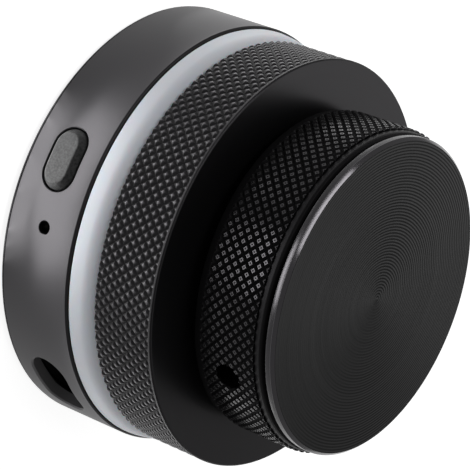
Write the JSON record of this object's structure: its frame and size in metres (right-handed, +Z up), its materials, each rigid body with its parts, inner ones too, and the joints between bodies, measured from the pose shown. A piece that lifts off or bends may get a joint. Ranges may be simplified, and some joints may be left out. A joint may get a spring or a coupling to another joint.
{
  "type": "usb volume control knob",
  "caption": "Round desktop volume control: a turned casing with side button, pinhole and oblong port, a light ring, a knurled tier and a knurled knob that turns and clicks down.",
  "frame": {"origin": "on the axis of the knob, at the surface that the rubber foot stands on", "axes": "+Z up along the knob's axis, +Y towards the port"},
  "size_m": [0.06, 0.06, 0.041],
  "materials": {
    "foot_rubber": "matt",
    "cover_metal": "fine blasted, dark grey anodised",
    "casing_metal": "turned, dark grey anodised",
    "tier_metal": "turned and knurled, dark grey anodised",
    "knob_metal": "spun face and knurled side, near black anodised",
    "button_metal": "satin, dark grey anodised",
    "milky_plastic": "satin, translucent white",
    "black_steel": "black oxide",
    "plain_steel": "zinc plated",
    "nickel_brass": "nickel plated",
    "spring_brass": "bare",
    "black_plastic": "moulded",
    "ivory_plastic": "moulded",
    "board_laminate": "solder resist",
    "lamp_plastic": "clear"
  },
  "bodies": {
    "base": {"rubber_foot": "foot_rubber", "bottom_cover": "cover_metal", "cover_screws": "black_steel", "casing": "casing_metal", "light_ring": "milky_plastic", "upper_housing": "tier_metal", "clamp_screws": "plain_steel", "encoder_case": "black_plastic", "encoder_bushing": "nickel_brass", "encoder_frame": "plain_steel", "encoder_pins": "spring_brass", "encoder_washer": "plain_steel", "encoder_nut": "nickel_brass", "detent_spring": "spring_brass", "push_dome": "plain_steel", "encoder_board": "board_laminate", "ring_lamps": "lamp_plastic", "main_board": "board_laminate", "board_screws": "plain_steel", "controller_chip": "black_plastic", "port_shell": "plain_steel", "port_tongue": "black_plastic", "button_switch": "black_plastic", "status_lamp": "lamp_plastic", "board_link": "black_plastic"},
    "rotor": {"encoder_rotor": "ivory_plastic"},
    "knob": {"volume_knob": "knob_metal", "grub_screw": "black_steel", "encoder_shaft": "plain_steel"},
    "side_button": {"side_button": "button_metal", "switch_stem": "ivory_plastic"}
  },
  "joints": [
    {"name": "knob_turn", "type": "hinge", "parent": "base", "child": "rotor", "pos_m": [0, 0, 0.02], "axis": [0, 0, 1], "continuous": true},
    {"name": "knob_push", "type": "slide", "parent": "rotor", "child": "knob", "axis": [0, 0, -1], "range_m": [0, 0.0005], "stiffness_N_per_m": 6000, "springref_m": -0.0002, "deforming": ["push_dome"]},
    {"name": "side_press", "type": "slide", "parent": "base", "child": "side_button", "axis": [-0.9272, -0.3746, 0], "range_m": [0, 0.0004], "stiffness_N_per_m": 5000, "springref_m": -0.00005}
  ]
}
